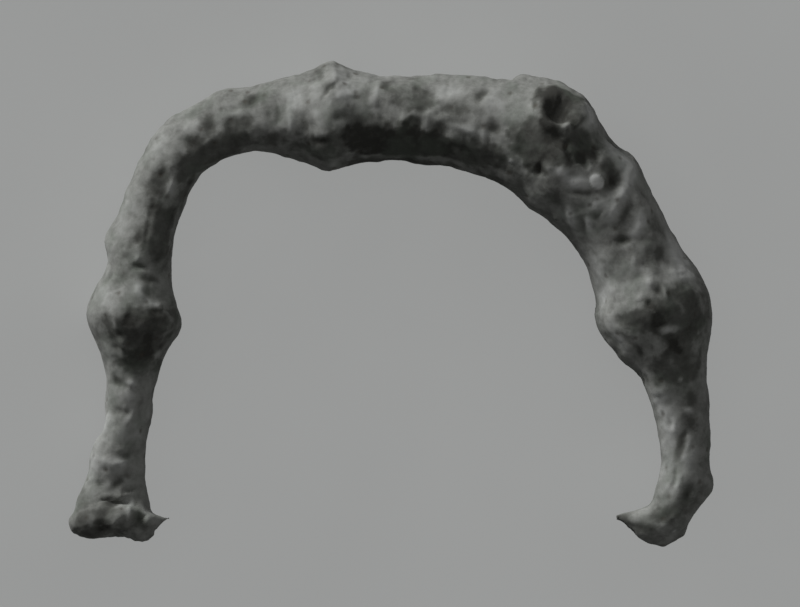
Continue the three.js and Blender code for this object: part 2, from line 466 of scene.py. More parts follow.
def left_shank() -> Stretch:
    """Give the shank between the left knob and the left turn.

    Returns:
        The stretch with its marks.
    """
    return Stretch(middle=30.0, marks=(
        Mark("pale outer band", 1.0, 50, 3.5, 1.4, tone=0.2),
        Mark("dark trough", 3.5, 84, 2.3, 1.1, height=-0.25, tone=-0.9),
        Mark("deep end of the trough", 4.9, 82, 0.6, 0.4, height=-0.1, tone=-0.3),
        # painted light: this side of the trough lies in shadow and is made paler; its rise is
        # relief
        Mark("pale side of the trough", 4.4, 108, 1.5, 0.35, turn=-10, height=0.15, tone=0.55),
        # painted shade: the inner half, turned away from the key lamp, is made darker
        Mark("dark inner half", -0.2, 118, 2.8, 1.8, tone=-0.5, shape=Shape.PLATE),
        Mark("dark seam", 0.0, 96, 2.0, 0.3, turn=-7, height=-0.15, tone=-0.3),
        Mark("slanting grey stroke", -1.8, 82, 1.0, 0.45, turn=30, height=-0.12, tone=-0.4),
        Mark("thin grey line", 0.4, 67, 0.3, 0.9, height=-0.06, tone=-0.2),
        Mark("grey patch", -3.3, 75, 0.45, 0.9, height=-0.12, tone=-0.35),
        Mark("pale speck", -3.2, 93, 0.4, 0.3, height=0.1, tone=0.35),
        Mark("dark slot", -3.9, 99, 0.4, 0.8, height=-0.25, tone=-0.8),
        Mark("second dark slot", -4.9, 118, 0.45, 1.1, height=-0.2, tone=-0.6),
        Mark("grey pocket", -5.2, 77, 0.7, 0.7, height=-0.1, tone=-0.35),
        Mark("outer grey pocket", -5.3, 48, 0.6, 0.5, height=-0.1, tone=-0.35),
        Mark("dark lower flank", -2.8, 135, 1.6, 1.3, tone=-0.3),
        # painted shade: the inner edge, turned away from the key lamp, is made darker
        Mark("dark inner edge", 4.0, 150, 2.6, 1.2, tone=-0.5),
    ))


def left_turn() -> Stretch:
    """Give the left turn of the arch.

    Returns:
        The stretch with its marks.
    """
    return Stretch(middle=40.0, marks=(
        Mark("pale patch", -3.4, 46, 1.8, 1.5, height=0.08, tone=0.35),
        Mark("second pale patch", -0.5, 60, 1.1, 0.9, height=0.08, tone=0.3),
        # painted shade: the inner half, turned away from the key lamp, is made darker
        Mark("dark inner half", -0.2, 122, 5.0, 2.0, tone=-0.45, shape=Shape.PLATE),
        Mark("dark edge", -1.3, 82, 0.9, 1.0, height=-0.15, tone=-0.45),
        Mark("dark lobe", 0.8, 70, 0.7, 1.0, height=-0.15, tone=-0.8),
        Mark("grey lobe", 2.0, 85, 1.0, 0.7, height=0.05, tone=0.25),
        Mark("pale stroke", 0.2, 98, 0.9, 0.3, turn=-15, height=0.12, tone=0.4),
        Mark("dark patch", 3.4, 88, 1.5, 1.0, height=-0.15, tone=-0.9),
        Mark("pale ledge", 3.2, 68, 2.2, 0.5, height=0.1, tone=0.4),
        Mark("dark slot", 4.7, 47, 1.0, 0.7, turn=-60, height=-0.2, tone=-0.9),
        Mark("grey side of the slot", 4.0, 50, 0.8, 0.7, height=-0.05, tone=-0.25),
        Mark("grey step", 1.6, 38, 0.4, 0.6, height=-0.08, tone=-0.25),
        Mark("grey dot", 2.2, 52, 0.3, 0.3, height=-0.06, tone=-0.35),
        Mark("grey rim", 0.4, 34, 1.2, 0.3, height=-0.05, tone=-0.2),
        Mark("full outer side", -2.0, 10, 2.2, 2.2, height=0.35),
    ))


def crown() -> Stretch:
    """Give the crown with its curved ridges and the peak under it.

    Returns:
        The stretch with its marks.
    """
    return Stretch(middle=51.5, marks=(
        Mark("dulled crest", 0.2, 42, 1.3, 2.4, height=-0.05, tone=-0.2),
        Mark("pale shoulder of the crest", -2.6, 55, 1.1, 1.2, height=0.08, tone=0.35),
        Mark("pale foot of the crest", -0.6, 88, 0.6, 1.6, height=0.15, tone=0.45),
        # painted light: the right flank, turned away from the key lamp, is made paler
        Mark("pale right flank", 1.9, 45, 1.3, 1.6, height=-0.05, tone=0.6),
        Mark("pale stroke", -3.3, 88, 0.4, 1.5, height=0.15, tone=0.45),
        Mark("dark stroke before", -4.4, 76, 0.4, 1.2, height=-0.15, tone=-0.35),
        Mark("dark stroke between", -2.1, 92, 0.6, 1.0, height=-0.12, tone=-0.4),
        Mark("curved groove", 1.1, 62, 1.4, 0.3, turn=-45, height=-0.2, tone=-0.5),
        Mark("curved ridge", 1.9, 73, 1.5, 0.6, turn=-25, height=0.1, tone=0.8),
        Mark("grey flank", 2.2, 84, 1.0, 0.8, tone=0.3),
        Mark("dark patch", 3.6, 70, 0.5, 0.9, height=-0.05, tone=-0.3),
        Mark("grey outer streak", 2.4, 36, 0.4, 0.8, height=-0.12, tone=-0.35),
        Mark("dark dash", 1.0, 97, 0.8, 0.4, height=-0.12, tone=-0.45),
        Mark("dark dip", 0.1, 106, 0.8, 0.6, height=-0.12, tone=-0.35),
        Mark("grey tongue", 1.0, 110, 1.1, 0.7, height=0.1, tone=0.3),
        Mark("dark hole", -1.2, 117, 0.8, 0.6, height=-0.2, tone=-0.6),
        # painted shade: the inner half, turned away from the key lamp, is made darker
        Mark("dark inner half", 0.3, 128, 3.6, 1.6, tone=-0.45, shape=Shape.PLATE),
        Mark("grey peak", -1.4, 136, 1.4, 0.8, tone=0.25),
        Mark("dark end of the inner half", 3.2, 112, 1.6, 1.3, tone=-0.4),
        Mark("dull face of the crest", 0.7, 28, 0.8, 1.3, tone=-0.4),
        Mark("dark under side", -5.0, 118, 1.6, 1.2, tone=-0.5),
        Mark("full outer side", -2.8, 10, 3.0, 2.2, height=0.28),
        # painted light: the face of the crown, which faces the key lamp, is made paler
        Mark("pale face of the crown", -1.8, 60, 2.4, 1.6, tone=0.35),
        # painted shade: the inner edge, turned away from the key lamp, is made darker
        Mark("dark inner edge", 2.8, 168, 2.8, 1.5, tone=-0.6),
    ))


def high_shank() -> Stretch:
    """Give the thick stretch from the crown to the shoulder, streaked across.

    Returns:
        The stretch with its marks.
    """
    return Stretch(middle=60.0, marks=(
        Mark("pale streak", -4.0, 66, 0.4, 1.6, height=0.12, tone=0.45),
        Mark("small dark pit", -3.0, 49, 0.5, 0.9, height=-0.2, tone=-0.9),
        Mark("grey patch", -0.5, 68, 2.3, 1.3, tone=-0.35, shape=Shape.PLATE),
        Mark("dark top of the patch", 0.0, 49, 0.4, 0.6, height=-0.12, tone=-0.35),
        Mark("dark dip", 0.1, 81, 0.8, 0.4, height=-0.12, tone=-0.35),
        Mark("pale cell", 1.2, 86, 0.6, 0.6, height=0.12, tone=0.3),
        Mark("small dark hole", 2.0, 87, 0.35, 0.45, height=-0.12, tone=-0.4),
        Mark("second pale cell", 2.7, 89, 0.6, 0.7, height=0.1, tone=0.25),
        Mark("thin pale streak", 2.0, 71, 0.35, 1.1, height=0.08, tone=0.3),
        Mark("white top", 3.3, 50, 1.6, 1.3, height=0.08, tone=0.45),
        Mark("grey band", 3.7, 81, 2.4, 1.0, height=-0.08, tone=-0.55),
        Mark("dark slanting pit", 5.9, 56, 1.0, 0.5, turn=-60, height=-0.2, tone=-0.8),
        Mark("pale cheek", 7.0, 70, 1.2, 1.8, height=0.1, tone=0.4),
        Mark("pale ledge", 4.7, 103, 1.5, 0.4, turn=10, height=0.12, tone=0.65),
        Mark("pale streak below the ledge", 6.4, 108, 0.35, 1.1, height=0.1, tone=0.35),
        Mark("dark patch", 7.3, 99, 0.9, 0.6, height=-0.12, tone=-0.45),
        Mark("grey streak", -1.2, 96, 0.35, 1.1, height=0.1, tone=0.35),
        Mark("dark tongue", -0.2, 108, 0.8, 1.2, height=-0.15, tone=-0.6, shape=Shape.PLATE),
        Mark("grey streak after the tongue", 1.0, 102, 0.3, 1.2, height=0.1, tone=0.35),
        Mark("deep patch", 2.3, 108, 1.2, 0.9, turn=30, height=-0.2, tone=-0.6),
        # painted shade: the inner half, turned away from the key lamp, is made darker
        Mark("dark inner half", -1.5, 128, 5.5, 1.8, tone=-1.1, shape=Shape.PLATE),
        Mark("small bright grain", 9.8, 131, 0.25, 0.25, height=0.12, tone=1.2, ragged=0.1),
        Mark("dark side of the grain", 9.8, 142, 1.3, 0.9, tone=-0.4),
        # painted shade: the inner end, turned away from the key lamp, is made darker
        Mark("dark inner end", 5.0, 133, 4.0, 1.6, tone=-0.6, shape=Shape.PLATE),
        Mark("full outer side", 4.5, 12, 6.0, 2.2, height=0.38),
        # painted shade: the inner edge, turned away from the key lamp, is made darker
        Mark("dark inner edge", -1.0, 172, 7.0, 1.6, tone=-0.9),
        Mark("grey lower band", -3.4, 102, 2.6, 0.9, tone=-0.4),
    ))


def shoulder() -> Stretch:
    """Give the shoulder with its bowl, its pearl and the valley between them.

    Returns:
        The stretch with its marks.
    """
    return Stretch(middle=74.0, marks=(
        Mark("pale cheek before the bowl", -4.0, 62, 1.6, 1.3, tone=0.15),
        Mark("soil in the bowl", -1.9, 47, 2.0, 2.0, height=0.75, ragged=0.1),
        Mark("floor of the bowl", -2.0, 48, 1.8, 2.2, tone=-1.1, shape=Shape.PLATE, ragged=0.15),
        # painted light: the rim faces away from the key lamp, so its paler tone is painted light;
        # its rise is relief
        Mark("pale rim", -0.1, 36, 0.9, 1.6, height=0.2, tone=1.4),
        Mark("pale lower lip", -0.5, 62, 1.3, 0.9, turn=-65, height=0.05, tone=0.2),
        Mark("dark pocket", -1.0, 83, 1.2, 0.8, height=-0.2, tone=-0.6),
        Mark("dark valley", 1.1, 70, 1.9, 1.5, height=-0.35, tone=-0.8, shape=Shape.PLATE),
        Mark("foot of the valley", 2.2, 80, 0.8, 0.8, height=-0.15, tone=-0.5),
        Mark("dark saddle", 1.9, 48, 1.2, 1.0, height=-0.3, tone=-0.35),
        Mark("grey slope", 3.6, 62, 0.8, 1.0, tone=-0.3),
        # painted light: the outer slope faces away from the key lamp, so its paler tone is
        # painted light; its rise is relief
        Mark("pale outer slope", 4.0, 30, 2.2, 1.5, height=0.15, tone=1.3),
        Mark("dark channel", 5.2, 61, 1.4, 1.1, turn=55, height=-0.4, tone=-1.2),
        Mark("head of the pale ridge", 5.8, 38, 1.2, 1.2, height=0.15, tone=0.8),
        Mark("pearl", 4.5, 82, 0.7, 0.65, height=0.1, tone=1.5, shape=Shape.PLATE, ragged=0.1),
        Mark("pale bar", 3.5, 99, 1.7, 0.8, turn=-45, height=0.15, tone=1.3),
        Mark("dark band under the bar", 4.5, 101, 1.6, 0.4, turn=-50, height=-0.15, tone=-0.45),
        Mark("small pale lump", 1.6, 104, 0.8, 0.7, height=0.15, tone=1.3),
        Mark("grey lump", 0.6, 110, 0.9, 0.7, height=0.15, tone=0.9),
        Mark("black pit", 0.1, 122, 0.9, 0.5, turn=45, height=-0.25, tone=-0.6),
        Mark("dark mottled flank", -1.7, 103, 3.2, 2.4, tone=-0.85, shape=Shape.PLATE),
        # painted shade: the inner flank, turned away from the key lamp, is made darker
        Mark("dark inner flank", 2.8, 126, 2.4, 1.6, tone=-0.4),
        Mark("full inner side", -3.5, 155, 4.0, 2.6, height=0.25),
        Mark("worn outer side", 2.2, 15, 2.6, 2.4, height=-0.6),
        # painted light: the inner face of the rim lies in shade, so its paler tone is painted
        # light; its rise is relief
        Mark("pale inner face of the rim", -0.7, 34, 0.5, 1.0, height=0.3, tone=1.0),
        # painted shade: the inner edge, turned away from the key lamp, is made darker
        Mark("dark inner edge", -5.5, 165, 3.0, 1.5, tone=-0.6),
        Mark("full outer side", -5.0, 15, 1.2, 1.8, height=0.2),
        Mark("shaded lower wall of the bowl", -1.6, 77, 1.3, 0.5, tone=-0.9),
    ))


def right_shank() -> Stretch:
    """Give the shank between the shoulder and the right knob.

    Returns:
        The stretch with its marks.
    """
    return Stretch(middle=83.0, marks=(
        Mark("pale ridge", -2.3, 66, 2.2, 0.9, turn=70, height=0.25, tone=0.8),
        Mark("lower end of the ridge", -1.1, 91, 1.0, 0.8, turn=70, height=0.12, tone=0.7),
        Mark("dark outer side", -1.5, 34, 1.4, 1.1, height=-0.12, tone=-0.35),
        Mark("dark valley between", -0.6, 75, 1.4, 0.6, turn=60, height=-0.2, tone=-0.6),
        Mark("second pale ridge", 1.0, 68, 2.0, 0.7, turn=65, height=0.18, tone=1.0),
        Mark("dark dash", 1.4, 95, 1.1, 0.45, turn=-65, height=-0.3, tone=-1.0),
        Mark("grey round", -2.8, 98, 0.9, 0.9, height=0.1, tone=1.0),
        Mark("dark pocket", -2.0, 105, 0.4, 0.8, height=-0.15, tone=-0.4),
        Mark("pale upright streak", -3.3, 130, 1.4, 0.6, turn=35, height=0.12, tone=1.5),
        Mark("dark gap", -1.9, 128, 1.0, 0.4, turn=35, height=-0.1, tone=-0.25),
        Mark("second upright streak", -1.7, 119, 1.3, 0.5, turn=35, height=0.1, tone=1.3),
        Mark("nub on the inner edge", -4.0, 150, 0.6, 0.6, height=0.25, tone=-0.4),
        Mark("grey blob", 2.2, 62, 0.5, 0.5, height=0.1, tone=0.3),
        Mark("dark outer edge", 2.2, 38, 1.8, 0.8, height=-0.1, tone=-0.35),
        Mark("dark patch", 4.0, 66, 1.4, 1.3, height=-0.05, tone=-0.3),
        Mark("grey pit", 4.3, 85, 0.5, 0.9, height=-0.1, tone=-0.35),
        Mark("grey mottle", 3.0, 106, 1.0, 0.9, height=-0.08, tone=-0.25),
        Mark("thin pale streak", 3.4, 97, 0.9, 0.3, turn=35, height=0.08, tone=0.3),
        # painted light: the inner edge, which faces the key lamp, is made paler
        Mark("pale inner edge", 2.4, 145, 3.5, 1.6, tone=0.45),
        # painted light: the outer strip faces away from the key lamp, so its paler tone is
        # painted light; its rise is relief
        Mark("pale outer strip", 5.0, 38, 1.6, 1.0, turn=-10, height=0.12, tone=0.8),
        # painted light: the outer side, turned away from the key lamp, is made paler
        Mark("light outer side", 0.5, 22, 5.0, 1.4, tone=0.35),
    ))


def right_knob() -> Stretch:
    """Give the lower right knob.

    Returns:
        The stretch with its marks.
    """
    return Stretch(middle=91.0, marks=(
        Mark("pale cheek", -2.8, 131, 1.5, 1.6, tone=0.25),
        Mark("bright brow", -1.6, 50, 0.7, 1.7, height=0.15, tone=0.9),
        Mark("dark dot", -3.1, 100, 0.5, 0.4, height=-0.1, tone=-0.35),
        Mark("pale bead", -2.0, 93, 0.6, 0.5, height=0.2, tone=0.5),
        Mark("grey dimple", -1.1, 88, 0.4, 0.4, height=-0.12, tone=-0.35),
        Mark("pale crescent", -0.7, 80, 0.8, 0.35, height=0.15, tone=0.6),
        Mark("pale blob", -0.9, 107, 0.5, 0.5, height=0.1, tone=0.35),
        Mark("dark spot", 0.0, 98, 0.4, 0.4, height=-0.25, tone=-0.9, ragged=0.15),
        Mark("black slope", 1.6, 65, 3.1, 2.8, height=-0.05, tone=-0.6, shape=Shape.PLATE),
        # painted light: the outer edge, turned away from the key lamp, is made paler
        Mark("light outer edge", -3.2, 25, 2.0, 1.4, tone=0.9),
        Mark("faint curved rib", 0.6, 65, 1.0, 0.3, turn=-45, height=0.1, tone=0.4),
        Mark("dark slope inside", 1.5, 103, 1.3, 2.0, tone=-0.45, shape=Shape.PLATE),
        Mark("pit inside", 1.6, 132, 0.7, 0.5, height=-0.15, tone=-0.4),
        Mark("pale bar", 2.5, 78, 0.5, 1.3, height=0.2, tone=1.3),
        Mark("foot of the bar", 3.3, 86, 0.8, 0.4, height=0.08, tone=0.2),
        Mark("deep pocket", 4.1, 70, 0.8, 0.7, height=-0.2, tone=-0.4),
        Mark("dark dimple", 4.3, 118, 0.6, 0.5, height=-0.2, tone=-0.45),
        Mark("second dark dimple", 4.2, 100, 0.5, 0.4, height=-0.12, tone=-0.3),
        # painted light: the inner edge, which faces the key lamp, is made paler
        Mark("pale inner edge", 3.0, 140, 2.0, 1.0, tone=0.6),
        Mark("pale speck", 5.6, 76, 0.6, 0.35, height=0.1, tone=0.5),
        Mark("dark lower flank", 6.2, 66, 2.0, 2.6, tone=-0.45, shape=Shape.PLATE),
        Mark("white grain", 7.6, 68, 0.25, 0.25, height=0.08, tone=1.0, ragged=0.1),
        Mark("dark outer edge", 1.2, 20, 3.0, 1.2, tone=-0.4),
        # painted light: the inner side, which faces the key lamp, is made paler
        Mark("pale inner side", -2.5, 158, 2.5, 1.3, tone=0.5),
    ))


def right_leg() -> Stretch:
    """Give the slim right leg with its crack.

    Returns:
        The stretch with its marks.
    """
    return Stretch(middle=102.0, marks=(
        Mark("pale inner flank", -1.5, 124, 2.0, 1.0, height=0.08, tone=0.4),
        Mark("pale patch", -2.4, 108, 0.9, 0.9, height=0.05, tone=0.5),
        Mark("dark top", -1.4, 56, 0.9, 0.8, height=-0.15, tone=-0.8),
        Mark("white grain", -0.5, 62, 0.35, 0.5, height=0.12, tone=0.6),
        Mark("dark patch", 0.9, 66, 1.0, 0.8, height=-0.2, tone=-0.65),
        Mark("dimple", 0.3, 110, 0.4, 0.3, height=-0.1, tone=-0.35),
        Mark("pale rib", 0.5, 102, 0.7, 0.3, height=0.08, tone=0.3),
        Mark("pale plate", 1.1, 106, 0.5, 0.6, height=0.05, tone=0.3),
        Mark("crack", 2.4, 93, 1.9, 0.6, turn=20, height=-0.1, tone=-1.3, shape=Shape.FURROW),
        Mark("pale patch by the crack", 1.9, 76, 0.6, 0.5, height=0.04, tone=0.4),
        Mark("second patch by the crack", 3.0, 80, 0.8, 0.6, height=0.04, tone=0.4),
        Mark("pale strip", 4.3, 80, 0.9, 0.5, height=0.05, tone=0.25),
        Mark("end of the crack", 5.1, 105, 0.6, 0.3, height=-0.1, tone=-0.35),
        Mark("dark line across", 4.2, 54, 0.3, 0.8, height=-0.06, tone=-0.25),
        Mark("pale inner strip", 4.8, 140, 2.2, 0.8, tone=0.25),
        Mark("thin dark streak", 6.2, 102, 0.8, 0.3, height=-0.1, tone=-0.35),
        Mark("pale streak", 6.1, 92, 0.9, 0.4, height=0.1, tone=0.5),
        Mark("dark bend", 6.5, 67, 0.8, 0.6, height=-0.2, tone=-0.55),
        Mark("grey outer side", 2.0, 50, 5.0, 1.2, tone=-0.05),
        Mark("dark inner throat", -4.0, 125, 1.0, 1.4, tone=-0.45),
        Mark("worn outer side", -1.5, 12, 5.5, 2.2, height=-0.15),
        # painted light: the inner side, which faces the key lamp, is made paler
        Mark("pale inner side", 1.0, 114, 5.5, 1.3, tone=0.5),
        Mark("grey strip beside the crack", 3.2, 66, 3.0, 0.8, tone=0.4),
        Mark("worn inner throat", -5.0, 168, 1.4, 1.8, height=-0.3),
    ))


def spring_stump() -> Stretch:
    """Give the broken stump of the spring.

    Returns:
        The stretch with its marks.
    """
    return Stretch(middle=111.0, marks=(
        Mark("pale top", 1.0, 145, 1.8, 0.9, tone=0.1),
        Mark("dark root", -1.6, 60, 1.3, 1.0, height=-0.1, tone=-0.35),
        Mark("dark outer root", -2.1, 42, 0.9, 0.5, height=-0.1, tone=-0.35),
        Mark("dark pocket", 0.4, 80, 1.1, 0.9, turn=30, height=-0.15, tone=-0.8),
        Mark("grey belly", 1.2, 64, 1.2, 1.2, tone=0.2),
        Mark("dark lower edge", 2.6, 85, 1.2, 0.5, turn=40, height=-0.1, tone=-0.55),
        Mark("dark tip", 3.8, 150, 0.9, 0.7, height=0.1, tone=-0.6),
        Mark("white grain", 0.5, 22, 0.25, 0.25, height=0.08, tone=1.0, ragged=0.1),
        Mark("worn outer corner", 0.8, 15, 1.2, 1.5, height=-0.5),
        Mark("dark under side", 2.0, 98, 1.7, 1.2, tone=-0.5),
        Mark("worn tip", 4.4, 150, 0.8, 2.5, height=-0.35),
        Mark("grey upper side", 2.0, 125, 1.6, 1.0, tone=0.2),
        Mark("worn inner side", 4.0, 165, 1.0, 1.4, height=-0.2),
    ))


def corroded_fields() -> dict[str, Roughening]:
    """Give the uneven fields that the skin is made of.

    Returns:
        The fields by name.
    """
    return {
        "swell": Roughening(Speckle.CLOUD, 3.4, 2, seed=1),
        "knot": Roughening(Speckle.CLOUD, 1.5, 3, seed=2),
        "nodule": Roughening(Speckle.NODULES, 1.3, 1, seed=3),
        "cloud": Roughening(Speckle.CLOUD, 2.3, 3, seed=4),
        "wander": Roughening(Speckle.CLOUD, 1.1, 3, seed=5),
        "pit": Roughening(Speckle.NODULES, 1.7, 1, seed=6),
        "grain": Roughening(Speckle.CLOUD, 0.6, 2, seed=7),
    }


@dataclass
class Corrosion:
    """The corroded skin of the bow: relief in the mesh, and the masks that the finish reads.

    Attributes:
        voxel: side of one cell of the remeshed skin.
        soften: how often the facets of the solid are smoothed away.
        fields: the uneven fields, by name.
        streaks: the field of the streaks that run around the bow.
        streak_stretch: how much longer a streak is than it is wide.
        swell: height of the broad, soft unevenness.
        knot: height of the knotted crust.
        nodule: height of the small rounded nodules.
        streak: height of the streaks.
        grain: height of the finest grain in the mesh.
        pit: depth of the scattered pits.
        pit_edge: values of the pit field between which a pit's wall lies.
        relief_tone: how much paler high spots are than low ones.
        nodule_share: how much of that the nodules get.
        pit_tone: how much darker the pits are.
        cloud_tone: how strong the broad patches of tone are.
        fine_tone: how strong the small patches of tone are.
        rest_band: heights above the table between which the relief sets in.
        streaked: where along the bow the streaks are strongest.
        streak_edge: how far the streaks take to fade at either end.
        streak_least: how strong the streaks are elsewhere.
        worn_inside: how much the arch is worn away on its inner side.
        worn_around: angles around the bow between which that wear sets in.
        worn_until: how far along the bow the inner side is worn.
        worn_edge: how far the wear takes to fade there.
    """

    voxel: float = 0.2
    soften: int = 24
    fields: dict[str, Roughening] = field(default_factory=corroded_fields)
    streaks: Roughening = Roughening(Speckle.CLOUD, 0.8, 2, seed=8)
    streak_stretch: float = 3.0
    swell: float = 0.12
    knot: float = 0.075
    nodule: float = 0.02
    streak: float = 0.055
    grain: float = 0.015
    pit: float = 0.045
    pit_edge: tuple[float, float] = (0.5, 0.9)
    relief_tone: float = 0.15
    nodule_share: float = 0.5
    pit_tone: float = 0.15
    cloud_tone: float = 0.15
    fine_tone: float = 0.06
    rest_band: tuple[float, float] = (0.02, 0.7)
    streaked: tuple[float, float] = (44.0, 68.0)
    streak_edge: float = 2.0
    streak_least: float = 0.3
    worn_inside: float = 0.27
    worn_around: tuple[float, float] = (90.0, 150.0)
    worn_until: float = 91.0
    worn_edge: float = 3.0

    def remesh(self, piece: bpy.types.Object) -> None:
        """Give the piece an even skin and smooth away the solid's facets.

        Args:
            piece: the copy of the solid, whose mesh is exchanged.
        """
        even = piece.modifiers.new("even skin", "REMESH")
        even.mode = "VOXEL"
        even.voxel_size = self.voxel * MODULE
        even.adaptivity = 0.0
        soft = piece.modifiers.new("soften", "SMOOTH")
        soft.factor = 0.5
        soft.iterations = self.soften
        bpy.context.view_layer.update()
        graph = bpy.context.evaluated_depsgraph_get()
        mesh = bpy.data.meshes.new_from_object(piece.evaluated_get(graph))
        piece.modifiers.clear()
        old = piece.data
        piece.data = mesh
        bpy.data.meshes.remove(old)
        mesh.name = piece.name

    @staticmethod
    def read(mesh: bpy.types.Mesh, what: str) -> np.ndarray:
        """Read the vertices' places or normals as an array.

        Args:
            mesh: the mesh to read.
            what: "co" or "normal".

        Returns:
            One row for each vertex.
        """
        values = np.empty(len(mesh.vertices) * 3, np.float32)
        mesh.vertices.foreach_get(what, values)
        return values.reshape(-1, 3).astype(float)

    @staticmethod
    def store(mesh: bpy.types.Mesh, name: str, values: np.ndarray) -> None:
        """Keep a value from 0 to 1 for each vertex in the mesh, under a name."""
        layer = mesh.attributes.new(name, "FLOAT", "POINT")
        layer.data.foreach_set("value", np.clip(values, 0.0, 1.0).astype(np.float32))

    def belt(self, places: Places) -> np.ndarray:
        """Give how strong the streaks are at each place.

        Args:
            places: places on the bow.

        Returns:
            One value for each place, up to 1.
        """
        first, last = self.streaked
        edge = self.streak_edge
        inside = smooth_step(first - edge, first + edge, places.along)
        inside *= 1.0 - smooth_step(last - edge, last + edge, places.along)
        return self.streak_least + (1.0 - self.streak_least) * inside

    def wear(self, places: Places) -> np.ndarray:
        """Give how deep the inner side of the arch is worn at each place.

        Args:
            places: places on the bow.

        Returns:
            One depth for each place, in modules.
        """
        worn = smooth_step(*self.worn_around, np.abs(places.around))
        worn *= 1.0 - smooth_step(self.worn_until - self.worn_edge,
                                  self.worn_until + self.worn_edge, places.along)
        return self.worn_inside * worn

    def dress(self, piece: bpy.types.Object, hub: np.ndarray,
              stretches: tuple[Stretch, ...]) -> BowLine:
        """Raise the whole relief and keep the masks that the finish reads.

        Args:
            piece: the remeshed piece.
            hub: the point inside the arch.
            stretches: the stretches with their marks, from the left foot to the stump.

        Returns:
            The line through the bow.
        """
        mesh = piece.data
        points = self.read(mesh, "co") / MODULE
        line = BowLine()
        line.fit(points, hub)
        places = line.locate(points)

        uneven = {name: rough.values(points) for name, rough in self.fields.items()}
        streak = self.streaks.across(places, self.streak_stretch) * self.belt(places)
        holes = smooth_step(*self.pit_edge, uneven["pit"])
        height = self.swell * uneven["swell"] + self.knot * uneven["knot"]
        height += self.nodule * uneven["nodule"] + self.grain * uneven["grain"]
        height += self.streak * streak - self.pit * holes - self.wear(places)
        nodule = self.nodule_share * uneven["nodule"]
        tone = self.relief_tone * (uneven["knot"] + nodule + streak)
        tone += self.cloud_tone * uneven["cloud"] + self.fine_tone * uneven["wander"]
        tone -= self.pit_tone * holes
        for stretch in stretches:
            stretch.apply(places, uneven["wander"], height, tone)

        fade = smooth_step(*self.rest_band, points[:, 2])
        points += self.read(mesh, "normal") * (height * fade)[:, None]
        points[:, 2] = np.maximum(points[:, 2], 0.0)
        mesh.vertices.foreach_set("co", (points * MODULE).astype(np.float32).ravel())
        mesh.update()
        # the tone holds the crust's own tone together with the painted light and painted shade of
        # the marks
        self.store(mesh, "tone", 0.5 + 0.5 * tone)
        self.store(mesh, "hollow", holes)
        return line


@dataclass(frozen=True)
class Nodes:
    """What adds nodes to one shader tree.

    Attributes:
        tree: the tree that gets them.
    """

    tree: bpy.types.NodeTree

    def fill(self, socket: bpy.types.NodeSocket, value: Filling) -> None:
        """Set a socket to a value, or link it to another socket.

        Args:
            socket: socket to fill.
            value: number, colour or socket that fills it.
        """
        if isinstance(value, bpy.types.NodeSocket):
            self.tree.links.new(value, socket)
        elif socket.type == "RGBA":
            socket.default_value = (*value, 1.0)
        else:
            socket.default_value = value

    def add(self, kind: str, inputs: dict[str | int, Filling]) -> bpy.types.Node:
        """Add a node and fill its inputs.

        Args:
            kind: the node's type, after the word ShaderNode.
            inputs: what fills each input, by its name or its place.

        Returns:
            The node.
        """
        node = self.tree.nodes.new("ShaderNode" + kind)
        for key, value in inputs.items():
            self.fill(node.inputs[key], value)
        return node

    def group(self, tree: bpy.types.NodeTree,
              inputs: dict[str, Filling]) -> bpy.types.NodeSocket:
        """Place a group with its own values.

        Args:
            tree: the group's tree.
            inputs: what fills each input, by its name.

        Returns:
            The socket with what the group gives.
        """
        node = self.tree.nodes.new("ShaderNodeGroup")
        node.node_tree = tree
        for name, value in inputs.items():
            self.fill(node.inputs[name], value)
        return node.outputs[0]

    def kept(self, name: str) -> bpy.types.NodeSocket:
        """Read one of the masks that the mesh keeps.

        Args:
            name: the mask's name.

        Returns:
            The socket with the mask.
        """
        node = self.add("Attribute", {})
        node.attribute_name = name
        return node.outputs["Fac"]

    def reckon(self, way: str, first: Filling, second: Filling) -> bpy.types.NodeSocket:
        """Reckon with two numbers.

        Args:
            way: how they are reckoned with.
            first: the first number, or a socket that gives it.
            second: the second number, or a socket that gives it.

        Returns:
            The socket with the result.
        """
        node = self.add("Math", {0: first, 1: second})
        node.operation = way
        return node.outputs[0]

    def blend(self, share: bpy.types.NodeSocket, first: Filling,
              second: Filling) -> bpy.types.NodeSocket:
        """Mix two colours.

        Args:
            share: how much there is of the second colour.
            first: the first colour, or a socket that gives it.
            second: the second colour, or a socket that gives it.

        Returns:
            The socket with the mixed colour.
        """
        node = self.add("Mix", {"Factor": share})
        node.data_type = "RGBA"
        ends = [socket for socket in node.inputs if socket.type == "RGBA"]
        for socket, colour in zip(ends, (first, second)):
            self.fill(socket, colour)
        return next(socket for socket in node.outputs if socket.type == "RGBA")


